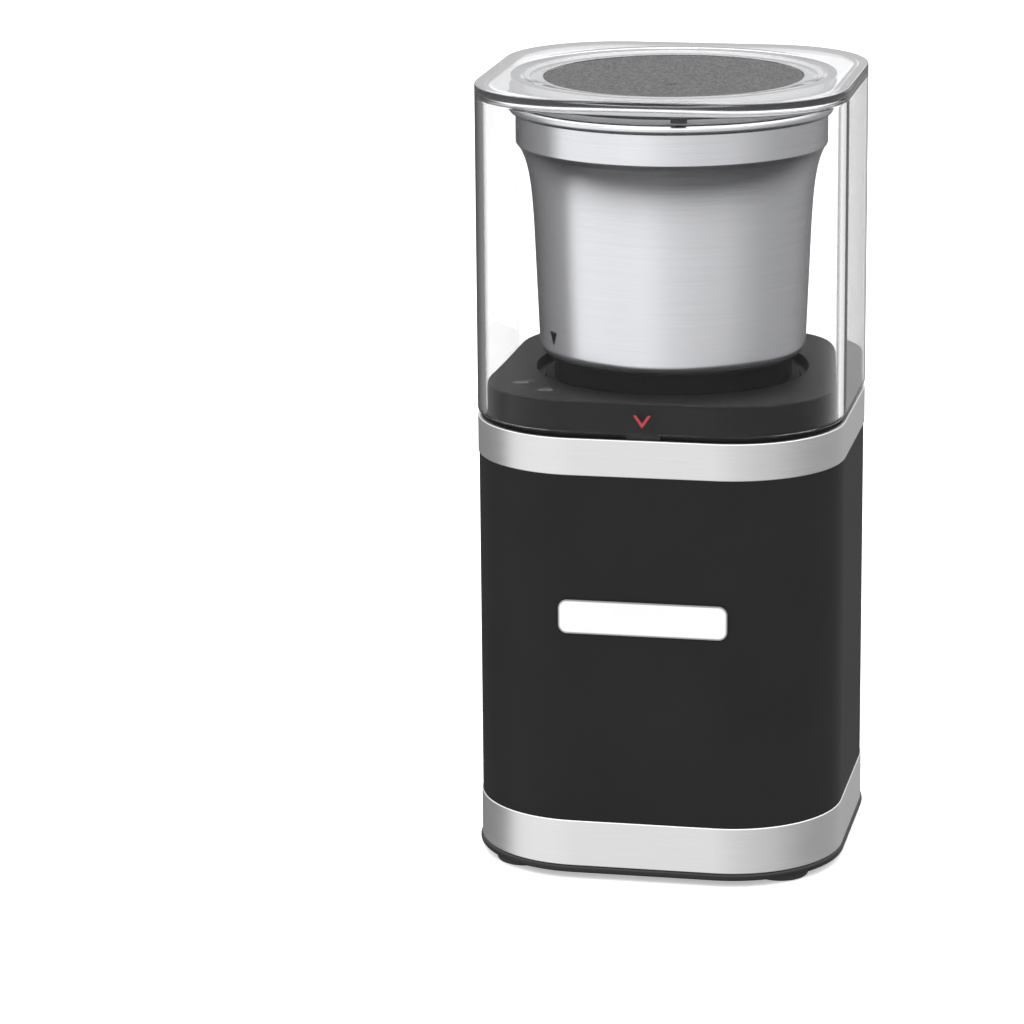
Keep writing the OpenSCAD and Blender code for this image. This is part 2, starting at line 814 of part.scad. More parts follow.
function flare(t) = [for (i = [0 : flare_steps])
  let (h = flare_from + (flare_to - flare_from) * i / flare_steps) [wall_r(h) - t, z_bowl + h]];

// Bottom corner as a quarter round, t inside the outer surface
function corner(t) = [for (a = [-90 : 15 : 0])
  [bowl_r - bowl_corner + (bowl_corner - t) * cos(a), z_bowl + bowl_corner + (bowl_corner - t) * sin(a)]];

module bowl_cup() {
  throat = z_collar + collar_h;
  outer = concat([[0, z_bowl]], corner(0), flare(0), [[collar_r - 0.35, z_collar - 0.9],
    [collar_r, z_collar], [collar_r, throat], [lip_r - 2 * lip_bead + 1, throat + 1.4]]);
  inner = concat([[0, z_floor]], corner(bowl_t), flare(bowl_t), [[collar_r - bowl_t - 0.35, z_collar - 0.5],
    [collar_r - bowl_t, z_collar + 0.4], [collar_r - bowl_t, throat + 0.4],
    [lip_r - 2 * lip_bead, throat + 1.4]]);
  reverse = [for (i = [len(inner) - 1 : -1 : 0]) inner[i]];
  line_h = 34;
  color([0.78, 0.78, 0.79]) difference() {
    union() {
      rotate_extrude($fn = 180) {
        polygon(concat(outer, reverse));
        translate([lip_r - lip_bead, z_lip]) circle(lip_bead, $fn = 48);
      }
      rotate(60) rotate_extrude(angle = 30) translate([wall_r(line_h) - bowl_t - 0.15, z_bowl + line_h])
        circle(0.5, $fn = 24);
    }
    disc(bush_r + 0.1, z_bowl - 1, z_floor + 1);
    screws_at() disc(screw_r + 0.2, z_bowl - 1, z_floor + 1);
  }
}

module screws_at() {
  for (turn = [30 : 120 : 270]) rotate(turn) translate([15, 0, 0]) children();
}

module bowl_base() {
  inner = neck_r - 2.4;
  color([0.13, 0.13, 0.14]) difference() {
    union() {
      tube(flange_r, flange_r - 2.6, flange_z, flange_top);
      tube(flange_r, inner, flange_top - 2, flange_top);
      tube(neck_r, inner, flange_top - 0.5, z_bowl);
      disc(inner + 1, base_plate, z_bowl);
      disc(9.5, boss_z, base_plate + 1);
      for (turn = [0 : 60 : 300]) rotate(turn)
        block([8, -0.8, base_plate - 2.4], [inner + 0.5, 0.8, base_plate + 0.5]);
      at_lugs() {
        arc_block(flange_r - 1, lug_r, -lug_half, lug_half, lug_z, lug_z + lug_h);
      }
    }
    disc(bush_r, boss_z - 1, z_bowl + 1);
    screws_at() disc(screw_r + 0.2, base_plate - 1, z_bowl + 1);
  }
}

module bowl_screws() {
  color([0.6, 0.6, 0.62]) screws_at() screw(base_plate - 2.4, z_floor + 3.6, 2.4);
}

module bowl_hub() {
  color([0.17, 0.17, 0.18]) difference() {
    rotate_extrude() difference() {
      polygon([[bush_r, z_floor], [23.5, z_floor], [23.5, z_floor + 1.2], [21.8, z_floor + 3.6],
        [20.4, z_floor + 4.6], [11.5, z_floor + 4.6], [9.4, bush_top], [bush_r, bush_top]]);
      translate([16, z_floor + 5.2]) circle(1.3, $fn = 32);
      translate([20, z_floor + 5.4]) circle(1.3, $fn = 32);
    }
    screws_at() disc(screw_r, z_floor - 1, z_floor + 3.7);
  }
}

module shaft_bushing() {
  color([0.7, 0.58, 0.32]) difference() {
    union() {
      disc(bush_r, boss_z, bush_top);
      disc(8.8, boss_z - 1.4, boss_z);
    }
    disc(pin_r + run_gap, boss_z - 3, bush_top + 1);
  }
}

module bowl_index_mark() {
  high = index_z + index_w;
  mark_t = 0.12;
  r_low = taper_r(index_z - z_bowl);
  r_high = taper_r(high - z_bowl);
  color([0.08, 0.08, 0.08]) intersection() {
    rotate_extrude($fn = 180) polygon([[r_low, index_z], [r_low + mark_t, index_z],
      [r_high + mark_t, high], [r_high, high]]);
    rotate(index_az) translate([30, 0, 0]) rotate([90, 0, 90]) linear_extrude(20)
      polygon([[0, index_z], [index_w / 2, high], [-index_w / 2, high]]);
  }
}

// ---------- blade ----------

module blade() {
  top = [[-tip_x, wing_down], [-flat_x, wing_down], [-bend_x, 0], [bend_x, 0], [flat_x, wing_up],
    [tip_x, wing_up]];
  under = [for (i = [len(top) - 1 : -1 : 0]) top[i] - [0, blade_t]];
  wing = [[bend_x - 4, 7.6], [bend_x + 2, 5.4], [flat_x, 5.2], [tip_x, 0.6], [tip_x, -2.4],
    [flat_x, -5.2], [bend_x + 2, -5.4], [bend_x - 4, -7.6]];
  color([0.82, 0.82, 0.84]) difference() {
    intersection() {
      translate([0, 10, z_blade + blade_t]) rotate([90, 0, 0]) linear_extrude(20)
        polygon(concat(top, under));
      translate([0, 0, z_blade - 10]) linear_extrude(30) polygon(concat(wing, -wing));
    }
    disc(pin_r, z_blade - 1, z_blade + 5);
  }
}

module blade_shaft() {
  color([0.75, 0.76, 0.78]) disc(pin_r, driven_z, z_blade + blade_t + 1.6);
}

module blade_spacer() {
  color([0.7, 0.7, 0.72]) tube(5, pin_r, bush_top + 0.5, z_blade);
}

module blade_nut() {
  low = z_blade + blade_t;
  color([0.8, 0.8, 0.82]) difference() {
    rotate_extrude() intersection() {
      translate([0, low - 2]) circle(5.2, $fn = 64);
      translate([0, low]) square([6, 4]);
    }
    disc(pin_r, low - 1, low + 1.6);
  }
}

module driven_coupling() {
  hub = couple_lug_in - 0.8;
  color([0.16, 0.16, 0.17]) {
    tube(hub, pin_r, driven_z, boss_z - 2.1);
    for (turn = [90, 270]) rotate(turn)
      arc_block(hub - 0.6, couple_lug_out, -couple_half, couple_half, driven_z, couple_top);
  }
}

// ---------- cover ----------

module lid_seal() {
  color([0.1, 0.1, 0.1]) tube(lip_r - 1, seal_in, seal_z, z_skirt);
}

module cover_walls() {
  color([0.85, 0.88, 0.9, 0.35]) shell(body_w, corner_r, cover_t, z_cover, z_plate);
}

module cover_top() {
  rim_out = disc_r + 8;
  color([0.85, 0.88, 0.9, 0.35]) difference() {
    union() {
      slab(body_w, corner_r, z_plate, top_t, 0, 0.8);
      disc(disc_r + 5, z_plate - 1, z_plate + 1);
      tube(lip_r - 1.8, seal_in + 1.2, z_skirt, z_plate + 1);
    }
    rotate_extrude() polygon([[0, z_dish], [disc_r + 0.1, z_dish], [disc_r + 2.4, z_dish + 0.3],
      [rim_out - 2.4, z_top - 0.3], [rim_out, z_top], [rim_out, z_top + 1], [0, z_top + 1]]);
    disc(disc_r + 0.1, z_dish - pocket, z_dish + 1);
  }
}

module lid_insert() {
  color([0.5, 0.5, 0.5]) difference() {
    disc(disc_r, z_dish - pocket, z_dish);
    tube(2.1, 1.5, z_dish - 0.2, z_dish + 1);
  }
}

module cover_mark() {
  mid = z_low + 137;
  wide = 2.6;
  drop = 1.9;
  stroke = 0.9;
  color([0.8, 0.15, 0.2]) translate([0, -half_w, mid]) rotate([90, 0, 0]) linear_extrude(0.15)
    polygon([[-wide, drop], [0, -drop], [wide, drop], [wide - stroke, drop], [0, -drop + stroke * 1.5],
      [stroke - wide, drop]]);
}

base_tray();
feet();
lower_band();
body_sleeve();
upper_band();
top_deck();
nameplate();
lock_marks();
inner_frame();
base_screws();
deck_screws();
stator_core();
field_coils();
upper_bracket();
lower_bracket();
upper_bearing();
lower_bearing();
motor_bolts();
motor_mounts();
mount_screws();
brush_holders();
carbon_brushes();
cover_switch();
interlock_switch();
terminal_block();
noise_filter();
inner_leads();
cord_gland();
plungers();
plunger_springs();
switch_lever();
interlock_ring();
interlock_lever();
rotor_shaft();
armature_core();
armature_windings();
commutator();
cooling_fan();
drive_coupling();
bowl_cup();
bowl_base();
bowl_hub();
shaft_bushing();
bowl_screws();
bowl_index_mark();
blade();
blade_shaft();
blade_spacer();
blade_nut();
driven_coupling();
lid_seal();
cover_walls();
cover_top();
lid_insert();
cover_mark();
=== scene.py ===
"""Looks of the electric spice grinder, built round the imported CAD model.

Lengths are metres, +Z is up and -Y is the front.
"""
import json
import math

import bmesh
import bpy
from mathutils import Matrix, Vector


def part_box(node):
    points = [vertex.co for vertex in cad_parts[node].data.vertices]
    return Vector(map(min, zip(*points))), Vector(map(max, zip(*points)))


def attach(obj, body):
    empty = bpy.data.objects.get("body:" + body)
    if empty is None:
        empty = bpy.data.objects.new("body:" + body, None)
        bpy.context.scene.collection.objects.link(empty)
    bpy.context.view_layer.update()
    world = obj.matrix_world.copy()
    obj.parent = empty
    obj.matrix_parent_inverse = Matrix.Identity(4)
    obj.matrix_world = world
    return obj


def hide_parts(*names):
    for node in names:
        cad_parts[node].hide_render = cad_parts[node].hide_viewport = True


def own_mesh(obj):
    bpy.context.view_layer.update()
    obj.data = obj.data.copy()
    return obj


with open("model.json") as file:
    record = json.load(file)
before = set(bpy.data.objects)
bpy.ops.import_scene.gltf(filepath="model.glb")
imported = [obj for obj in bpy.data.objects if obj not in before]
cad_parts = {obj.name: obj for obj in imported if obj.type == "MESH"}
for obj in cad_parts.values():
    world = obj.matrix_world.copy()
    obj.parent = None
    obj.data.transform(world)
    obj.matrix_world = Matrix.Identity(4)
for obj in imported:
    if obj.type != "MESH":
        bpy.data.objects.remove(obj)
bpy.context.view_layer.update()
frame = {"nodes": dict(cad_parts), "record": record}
nodes = frame["nodes"]
record = frame["record"]

MM = 0.001
STEPS = 288
SHARP_ANGLE = 35
MERGE_DISTANCE = 1e-7


# ---------- sizes, read from the frame ----------

band_low, band_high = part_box("lower_band")
walls_low, walls_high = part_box("cover_walls")
top_low, top_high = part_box("cover_top")
disc_low, disc_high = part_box("lid_insert")
cup_low, cup_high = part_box("bowl_cup")
seal_low, seal_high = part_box("lid_seal")
plate_low, plate_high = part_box("nameplate")
spring_low, spring_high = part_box("plunger_springs")

BODY_HALF = band_high.x
DISC_R = disc_high.x
LIP_R = cup_high.x
BOWL_Z = cup_low.z


# ---------- sizes of the pieces that are made here ----------

CORNER_R = 33.7 * MM
COVER_T = 2.4 * MM
# under the cover's plate: the plug, and the skirt round the seal, as inner and outer radius
PLUG_IN, PLUG_OUT = 43.3 * MM, 44.6 * MM
SKIRT_IN, SKIRT_OUT = 46.1 * MM, 47.85 * MM
PLUG_BELOW_SKIRT = 4.6 * MM
DISC_SINK = 0.25 * MM
SEAL_IN = 44.9 * MM

# the bowl's wall is straight from its foot, flares towards its top and ends in the collar and the lip
BOWL_R = 40.35 * MM
BOWL_T = 1.0 * MM
BOWL_FOOT = 4.6 * MM
BOWL_SLOPE = 0.042
BOWL_CORNER = 4.0 * MM
BOWL_HOLE = 6.55 * MM
FLARE, FLARE_LENGTH = 3.5 * MM, 6.5 * MM
FLARE_FROM_MM, WALL_TOP_MM = 38, 62.9
WALL_TOP = WALL_TOP_MM * MM
COLLAR_R, COLLAR_Z, COLLAR_H = 47.35 * MM, 64.8 * MM, 8.2 * MM
LIP_BEAD = 1.5 * MM
FILL_LINE_Z = 34 * MM


# ---------- camera, light and floor ----------

def add_camera():
    data = bpy.data.cameras.new("camera")
    data.sensor_width = 36
    data.lens = 153.1
    data.clip_start = 0.05
    data.clip_end = 60
    camera = bpy.data.objects.new("camera", data)
    bpy.context.scene.collection.objects.link(camera)
    place = Vector((0.21263, -1.25980, 0.44153))
    target = Vector((-0.04802, -0.01001, 0.1001))
    roll = -0.0100
    turn = (target - place).to_track_quat("-Z", "Y").to_matrix().to_4x4()
    camera.matrix_world = Matrix.Translation(place) @ turn @ Matrix.Rotation(roll, 4, "Z")
    bpy.context.scene.camera = camera


# Brightness of the studio round the part: direction in degrees from the camera, to its right, and level
AROUND = [(-101.7, 0.30), (-95, 0.66), (-88, 1.01), (-24, 1.0), (-4, 0.81), (20, 0.69), (41, 0.63),
          (56, 0.50), (76, 0.38), (100, 0.35), (128, 0.38), (144, 0.43), (156, 0.43), (168, 0.20),
          (190, 0.10), (214, 0.23), (240, 0.24), (258.2, 0.30)]
# The same for light that runs inside the cover's walls and leaves at their edges
AT_EDGES = [(-101.7, 0.30), (100, 0.50), (128, 0.90), (140, 1.0), (158, 1.0), (166, 0.35), (172, 0.06),
            (180, 0.05), (188, 0.09), (200, 0.14), (216, 0.27), (240, 0.30), (258.2, 0.30)]
CAMERA_TURN = -78.2

# Height of a direction, from 0 straight down to 1 straight up, and the level or share there
BELOW = [(0.0, 0.06), (0.18, 0.09), (0.33, 1.0), (1.0, 1.0)]
BELOW_OPEN = [(0.0, 0.5), (0.33, 0.94), (1.0, 0.94)]
WALLS = [(0.0, 0.0), (0.505, 0.0), (0.545, 1.0), (1.0, 1.0)]
SOFTBOX = [(0.0, 0.0), (0.68, 0.0), (0.86, 1.0), (1.0, 1.0)]
WHITE_WALLS = 0.75
CEILING = 2.2

# Transmission Depth counts the surfaces that a ray has gone through: each wall of the cover has two
ONE_WALL, TWO_WALLS = 2, 4
HALF_STEP = 0.5

FLOOR_HALF = 12.0
FLOOR_GLOW, FLOOR_GLOW_THROUGH_COVER = 0.42, 0.41


def grey(level):
    return (level, level, level, 1)


def feed(tree, socket, value):
    """Links a socket to another node's output, or sets it to a number or colour."""
    if isinstance(value, bpy.types.NodeSocket):
        tree.links.new(value, socket)
    else:
        socket.default_value = value


def math_node(tree, operation, *values):
    node = tree.nodes.new("ShaderNodeMath")
    node.operation = operation
    for socket, value in zip(node.inputs, values):
        feed(tree, socket, value)
    return node.outputs[0]


def mix_colour(tree, share, first, second, blend="MIX"):
    node = tree.nodes.new("ShaderNodeMixRGB")
    node.blend_type = blend
    feed(tree, node.inputs["Fac"], share)
    feed(tree, node.inputs["Color1"], first)
    feed(tree, node.inputs["Color2"], second)
    return node.outputs["Color"]


def ramp_node(tree, source, stops):
    """Grey level along a ramp: stops are (place, level)."""
    node = tree.nodes.new("ShaderNodeValToRGB")
    ramp = node.color_ramp
    first, last = ramp.elements[0], ramp.elements[1]
    first.position, last.position = stops[0][0], stops[-1][0]
    first.color = grey(stops[0][1])
    last.color = grey(stops[-1][1])
    for place, level in stops[1:-1]:
        ramp.elements.new(place).color = grey(level)
    tree.links.new(source, node.inputs["Fac"])
    return node.outputs["Color"]


def mix_shader(tree, share, first, second, target):
    """Mixes the outputs of two shaders and links the result to a surface socket."""
    node = tree.nodes.new("ShaderNodeMixShader")
    tree.links.new(share, node.inputs["Fac"])
    tree.links.new(first, node.inputs[1])
    tree.links.new(second, node.inputs[2])
    tree.links.new(node.outputs["Shader"], target)


def compass(turn):
    """Place of a direction on the world's radial gradient, which runs from -180 to 180 degrees."""
    return min(1.0, max(0.0, (CAMERA_TURN + turn + 180) / 360))


def studio_round(tree, direction, path):
    """Level by direction round the part, with a ramp of its own for rays that went through one wall."""
    radial = tree.nodes.new("ShaderNodeTexGradient")
    radial.gradient_type = "RADIAL"
    tree.links.new(direction, radial.inputs["Vector"])
    sides, edges = [
        ramp_node(tree, radial.outputs["Fac"], [(compass(turn), level) for turn, level in stops])
        for stops in (AROUND, AT_EDGES)]
    in_wall = math_node(tree, "COMPARE", path.outputs["Transmission Depth"], ONE_WALL, HALF_STEP)
    return mix_colour(tree, in_wall, sides, edges)


def studio_height(tree, direction):
    """Height of a direction, from 0 straight down to 1 straight up."""
    split = tree.nodes.new("ShaderNodeSeparateXYZ")
    tree.links.new(direction, split.inputs[0])
    lift = tree.nodes.new("ShaderNodeMapRange")
    lift.inputs["From Min"].default_value = -1.0
    tree.links.new(split.outputs["Z"], lift.inputs["Value"])
    return lift.outputs["Result"]


def background_share(tree, path):
    """1 where the background is seen directly, or straight through two walls of the cover."""
    passed = path.outputs["Transmission Depth"]
    through = math_node(tree, "GREATER_THAN", passed, TWO_WALLS - HALF_STEP)
    for bounce in ("Glossy Depth", "Diffuse Depth"):
        never = math_node(tree, "LESS_THAN", path.outputs[bounce], HALF_STEP)
        through = math_node(tree, "MULTIPLY", through, never)
    return math_node(tree, "MAXIMUM", path.outputs["Is Camera Ray"], through)


def studio_colour(tree, path):
    """The studio's light: dim below, then the walls, then the ceiling's softbox."""
    direction = tree.nodes.new("ShaderNodeTexCoord").outputs["Generated"]
    level = studio_round(tree, direction, path)
    height = studio_height(tree, direction)
    # what stands outside the cover mirrors a paler floor, and white walls above the horizon
    outside = math_node(tree, "LESS_THAN", path.outputs["Transmission Depth"], HALF_STEP)
    below, below_open = ramp_node(tree, height, BELOW), ramp_node(tree, height, BELOW_OPEN)
    downward = mix_colour(tree, outside, below, below_open)
    dimmed = mix_colour(tree, 1.0, level, downward, "MULTIPLY")
    upward = math_node(tree, "MULTIPLY", outside, ramp_node(tree, height, WALLS))
    walls = mix_colour(tree, upward, dimmed, grey(WHITE_WALLS))
    return mix_colour(tree, ramp_node(tree, height, SOFTBOX), walls, grey(CEILING))


def add_world():
    """Studio round the part: a large softbox at the left front, a dimmer front and a dark right side."""
    world = bpy.data.worlds.new("studio")
    bpy.context.scene.world = world
    world.use_nodes = True
    tree = world.node_tree
    tree.nodes.clear()
    path = tree.nodes.new("ShaderNodeLightPath")
    room = tree.nodes.new("ShaderNodeBackground")
    tree.links.new(studio_colour(tree, path), room.inputs["Color"])
    seen = tree.nodes.new("ShaderNodeBackground")
    seen.inputs["Color"].default_value = (1, 1, 1, 1)
    out = tree.nodes.new("ShaderNodeOutputWorld")
    mix_shader(tree, background_share(tree, path), room.outputs[0], seen.outputs[0], out.inputs["Surface"])


def floor_material():
    """Pale matt floor with a faint glow."""
    material = bpy.data.materials.new("floor")
    material.use_nodes = True
    tree = material.node_tree
    shader = tree.nodes["Principled BSDF"]
    shader.inputs["Base Color"].default_value = grey(0.86)
    shader.inputs["Roughness"].default_value = 0.9
    shader.inputs["Specular IOR Level"].default_value = 0.0
    shader.inputs["Emission Color"].default_value = grey(1)
    path = tree.nodes.new("ShaderNodeLightPath")
    # the glow is a little weaker where the floor is seen through the clear cover
    glow = tree.nodes.new("ShaderNodeMapRange")
    glow.inputs["To Min"].default_value = FLOOR_GLOW
    glow.inputs["To Max"].default_value = FLOOR_GLOW_THROUGH_COVER
    tree.links.new(path.outputs["Transmission Depth"], glow.inputs["Value"])
    tree.links.new(glow.outputs["Result"], shader.inputs["Emission Strength"])
    # mirrored rays pass through the floor, so that steel and gloss mirror the studio alone
    mirrored = math_node(tree, "GREATER_THAN", path.outputs["Glossy Depth"], HALF_STEP)
    away = tree.nodes.new("ShaderNodeBsdfTransparent")
    surface = tree.nodes["Material Output"].inputs["Surface"]
    mix_shader(tree, mirrored, shader.outputs["BSDF"], away.outputs["BSDF"], surface)
    return material


def add_floor():
    half = FLOOR_HALF
    corners = [(-half, -half, 0), (half, -half, 0), (half, half, 0), (-half, half, 0)]
    mesh = bpy.data.meshes.new("floor")
    mesh.from_pydata(corners, [], [(0, 1, 2, 3)])
    floor = bpy.data.objects.new("floor", mesh)
    bpy.context.scene.collection.objects.link(floor)
    mesh.materials.append(floor_material())


# ---------- materials ----------

class Paint:
    """One procedural material: a Principled shader and the nodes that feed it."""

    def __init__(self, name, colour, rough, metal=0.0, specular=0.5):
        self.name = name
        self.material = bpy.data.materials.new(name)
        self.material.use_nodes = True
        self.tree = self.material.node_tree
        self.shader = self.tree.nodes["Principled BSDF"]
        self.set("Base Color", tuple(colour) + (1,))
        self.set("Roughness", rough)
        self.set("Metallic", metal)
        self.set("Specular IOR Level", specular)

    def set(self, socket, value):
        self.shader.inputs[socket].default_value = value

    def link(self, source, target):
        self.tree.links.new(source, target)

    def noise(self, stretch, detail, rough=0.5):
        """Noise in object space; stretch is the number of cells per metre along X, Y and Z."""
        where = self.tree.nodes.new("ShaderNodeTexCoord")
        mapping = self.tree.nodes.new("ShaderNodeMapping")
        mapping.inputs["Scale"].default_value = stretch
        texture = self.tree.nodes.new("ShaderNodeTexNoise")
        texture.inputs["Scale"].default_value = 1.0
        texture.inputs["Detail"].default_value = detail
        texture.inputs["Roughness"].default_value = rough
        self.link(where.outputs["Object"], mapping.inputs["Vector"])
        self.link(mapping.outputs["Vector"], texture.inputs["Vector"])
        return texture.outputs["Fac"]

    def span(self, source, low, high, from_low=0.3, from_high=0.7):
        """Maps a grey value to the range low to high."""
        node = self.tree.nodes.new("ShaderNodeMapRange")
        node.inputs["From Min"].default_value = from_low
        node.inputs["From Max"].default_value = from_high
        node.inputs["To Min"].default_value = low
        node.inputs["To Max"].default_value = high
        self.link(source, node.inputs["Value"])
        return node.outputs["Result"]

    def colour_between(self, source, first, second):
        """Runs the base colour from first to second as the source goes from 0 to 1."""
        node = self.tree.nodes.new("ShaderNodeMix")
        node.data_type = "RGBA"
        node.inputs["A"].default_value = tuple(first) + (1,)
        node.inputs["B"].default_value = tuple(second) + (1,)
        self.link(source, node.inputs["Factor"])
        # the node has one output for each kind of data
        result = next(socket for socket in node.outputs if socket.type == "RGBA")
        self.link(result, self.shader.inputs["Base Color"])

    def rough_between(self, source, low, high):
        self.link(self.span(source, low, high), self.shader.inputs["Roughness"])

    def bump(self, source, strength, distance):
        node = self.tree.nodes.new("ShaderNodeBump")
        node.inputs["Strength"].default_value = strength
        node.inputs["Distance"].default_value = distance
        self.link(source, node.inputs["Height"])
        self.link(node.outputs["Normal"], self.shader.inputs["Normal"])


def shade(colour, factor):
    return tuple(min(1.0, c * factor) for c in colour)


def moulded(name, colour, rough, grain=2600, relief=0.25, specular=0.5):
    """Moulded plastic: fine spark-eroded grain, a little variation of tone and gloss."""
    paint = Paint(name, colour, rough, specular=specular)
    cloud = paint.noise((30, 30, 30), detail=3)
    paint.colour_between(paint.span(cloud, 0, 1), shade(colour, 0.95), shade(colour, 1.06))
    fine = paint.noise((grain, grain, grain), detail=2)
    paint.rough_between(fine, rough - 0.05, rough + 0.06)
    paint.bump(fine, relief, 0.00003)
    return paint


def brushed(name, colour, rough, lines, relief=0.18, spread=0.08, edge=1.0):
    """Steel brushed along one direction: lines is the number of streaks per metre along X, Y and Z."""
    paint = Paint(name, colour, rough, metal=1.0)
    paint.set("Specular Tint", grey(edge))
    streaks = paint.noise(lines, detail=4, rough=0.65)
    paint.colour_between(paint.span(streaks, 0, 1), shade(colour, 0.96), shade(colour, 1.03))
    paint.rough_between(streaks, rough - spread, rough + spread)
    paint.bump(streaks, relief, 0.00002)
    return paint


def clear_plastic(name, colour=(1.0, 1.0, 1.0), haze=0.0, tint=0.25, shadow=0.94):
    """Clear polished plastic with a share of milky haze. Shadow rays pass, so what is inside is lit."""
    paint = Paint(name, colour, 0.0)
    paint.set("Transmission Weight", 1.0 - haze)
    paint.set("IOR", 1.49)
    paint.set("Specular Tint", grey(tint))
    waves = paint.noise((16, 16, 16), detail=1)
    paint.bump(waves, 0.05, 0.0004)
    tree = paint.tree
    through = tree.nodes.new("ShaderNodeBsdfTransparent")
    through.inputs["Color"].default_value = grey(shadow)
    in_shadow = tree.nodes.new("ShaderNodeLightPath").outputs["Is Shadow Ray"]
    surface = tree.nodes["Material Output"].inputs["Surface"]
    mix_shader(tree, in_shadow, paint.shader.outputs["BSDF"], through.outputs["BSDF"], surface)
    return paint


def frosted(name):
    """Fine spark-eroded texture of the sunk disc: light grains on dark grey."""
    paint = Paint(name, (0.2, 0.2, 0.2), 0.6, specular=0.1)
    grains = paint.noise((1500, 1500, 1500), detail=1, rough=0.4)
    paint.colour_between(paint.span(grains, 0, 1, 0.38, 0.62), (0.045, 0.045, 0.046), (0.13, 0.13, 0.132))
    paint.rough_between(grains, 0.52, 0.68)
    paint.bump(grains, 0.5, 0.00008)
    return paint


def black_plastics():
    return [
        moulded("black_plastic", (0.010, 0.010, 0.0105), 0.42, relief=0.12, specular=0.4),
        # darker than the tray: painted shade on the bowl's base down in the deck's recess
        moulded("base_black_painted_shade", (0.006, 0.006, 0.0062), 0.5, relief=0.12, specular=0.15),
        moulded("sleeve_black", (0.015, 0.015, 0.0155), 0.42, grain=3200, relief=0.06, specular=0.05),
        moulded("deck_plastic", (0.0065, 0.0065, 0.007), 0.42, grain=3400, relief=0.06, specular=0.24),
        moulded("rubber", (0.015, 0.015, 0.015), 0.6, grain=1800, relief=0.3),
        moulded("carbon", (0.03, 0.03, 0.032), 0.55, grain=1500, relief=0.4),
        moulded("switch_black", (0.025, 0.025, 0.027), 0.45),
        moulded("coupling_plastic", (0.02, 0.02, 0.022), 0.5, grain=1500, relief=0.4),
        moulded("hub_plastic", (0.025, 0.025, 0.027), 0.35),
    ]


def other_plastics():
    return [
        moulded("plate_white", (0.66, 0.66, 0.66), 0.35, grain=900, relief=0.05),
        moulded("mark_grey", (0.25, 0.25, 0.25), 0.5, grain=1500, relief=0.1),
        moulded("mark_dim", (0.08, 0.08, 0.08), 0.5, grain=1500, relief=0.1, specular=0.3),
        moulded("mark_red", (0.34, 0.018, 0.024), 0.45, grain=1500, relief=0.1),
        moulded("mark_black", (0.008, 0.008, 0.008), 0.6, grain=1500, relief=0.1, specular=0.08),
        moulded("frame_plastic", (0.07, 0.07, 0.075), 0.5, grain=1200),
        moulded("terminal_white", (0.70, 0.69, 0.64), 0.45),
        moulded("filter_yellow", (0.62, 0.48, 0.06), 0.3),
        moulded("wire_skin", (0.35, 0.03, 0.03), 0.45),
        frosted("frosted_disc"),
    ]


def metals():
    band_lines = (60, 60, 5200)
    bowl_lines = (30, 30, 4600)
    return [
        brushed("brushed_steel", (0.85, 0.85, 0.85), 0.34, band_lines, relief=0.13, spread=0.06),
        brushed("bowl_steel", (0.85, 0.855, 0.885), 0.24, bowl_lines, relief=0.07, spread=0.03, edge=0.4),
        brushed("zinc_screw", (0.60, 0.61, 0.64), 0.32, (900, 900, 900)),
        brushed("lamination", (0.30, 0.31, 0.33), 0.45, (40, 40, 2200), relief=0.5),
        brushed("copper_wire", (0.62, 0.27, 0.11), 0.35, (500, 500, 1600), relief=0.7),
        brushed("die_cast", (0.52, 0.53, 0.55), 0.5, (700, 700, 700), relief=0.4),
        brushed("bearing_steel", (0.66, 0.67, 0.69), 0.2, (200, 200, 2500), relief=0.05),
        brushed("brass", (0.70, 0.50, 0.22), 0.3, (600, 600, 600)),
        brushed("spring_steel", (0.66, 0.67, 0.69), 0.25, (300, 300, 300)),
        brushed("blade_steel", (0.74, 0.74, 0.76), 0.28, (160, 1800, 160)),
    ]


def clear_plastics():
    return [
        clear_plastic("clear_cover"),
        clear_plastic("cover_plate", (0.92, 0.925, 0.95), haze=0.23, tint=0.9, shadow=0.9),
        clear_plastic("cover_plug", (0.97, 0.97, 0.98), haze=0.85, tint=0.8, shadow=0.9),
        # grey copy of the plate's plastic for its edge faces: painted shade
        clear_plastic("cover_side_painted_shade", (0.25, 0.25, 0.265), haze=0.10, tint=0.5, shadow=0.9),
    ]


def make_paints():
    """Every material by its paint's name, which for most of them is the name of a slot in the record."""
    paints = black_plastics() + other_plastics() + metals() + clear_plastics()
    # Blender numbers a material whose name the frame already uses, so the paint's own name is the key
    return {paint.name: paint.material for paint in paints}


def paint_cad_nodes(materials):
    # the bowl's black base is duller and darker than the tray, its extra darkness painted shade of the
    # deck's recess, and the lock marks are dimmer than the nameplate's edge
    finer = {"bowl_base": "base_black_painted_shade", "lock_marks": "mark_dim"}
    for part in record["subparts"]:
        node = nodes[part["node"]]
        node.data.materials.clear()
        node.data.materials.append(materials[finer.get(part["node"], part["material_slot"])])


# ---------- mesh helpers ----------

def reach(angle, half, radius):
    """Distance from the axis to a round-cornered square, in one direction."""
    c, s = abs(math.cos(angle)), abs(math.sin(angle))
    centre = half - radius
    side = half / max(c, s)
    if min(c, s) * side <= centre:
        return side
    return centre * (c + s) + math.sqrt(max(0.0, (centre * (c + s)) ** 2 - 2 * centre ** 2 + radius ** 2))


def square_ring(half, radius, z):
    ring = []
    for i in range(STEPS):
        angle = math.tau * i / STEPS
        r = reach(angle, half, radius)
        ring.append((r * math.cos(angle), r * math.sin(angle), z))
    return ring


def circle_points(radius, centre, steps):
    points = []
    for k in range(steps):
        a = math.tau * k / steps
        points.append((centre[0] + radius * math.cos(a), centre[1] + radius * math.sin(a)))
    return points


def round_rings(path):
    """Rings round the axis from a path of (radius, z)."""
    return [[(x, y, z) for x, y in circle_points(radius, (0, 0), STEPS)] for radius, z in path]


